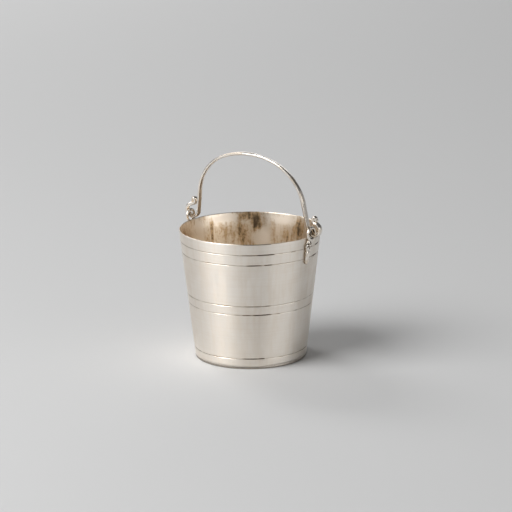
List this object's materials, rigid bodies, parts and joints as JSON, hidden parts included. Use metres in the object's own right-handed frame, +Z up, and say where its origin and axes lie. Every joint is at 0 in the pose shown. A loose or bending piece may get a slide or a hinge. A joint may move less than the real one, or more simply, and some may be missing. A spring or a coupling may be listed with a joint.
{
  "type": "miniature pail",
  "caption": "Miniature silver pail: tapered sheet wall scored with hoop lines, flat base disc, cast ears and an arched strip bail that swings over the rim.",
  "frame": {"origin": "centre of the flat underside of the base disc", "axes": "+Z up along the pail's axis, +X through the right ear, the bail swings about an axis parallel to X"},
  "size_m": [0.0437, 0.038, 0.0558],
  "materials": {
    "sheet_silver": "satin silver, hand burnished, warm tarnish inside",
    "base_silver": "satin silver, rubbed from standing",
    "cast_silver": "cast silver, polished on the high spots and dark in the recesses",
    "bail_silver": "polished silver strip with file marks"
  },
  "bodies": {
    "pail": {"wall": "sheet_silver", "base_disc": "base_silver", "ear_right": "cast_silver", "ear_left": "cast_silver"},
    "bail": {"bail": "bail_silver"}
  },
  "joints": [
    {"name": "bail_swing", "type": "hinge", "parent": "pail", "child": "bail", "pos_m": [0, 0, 0.03575], "axis": [1, 0, 0], "range_deg": [-94.5, 84]}
  ]
}
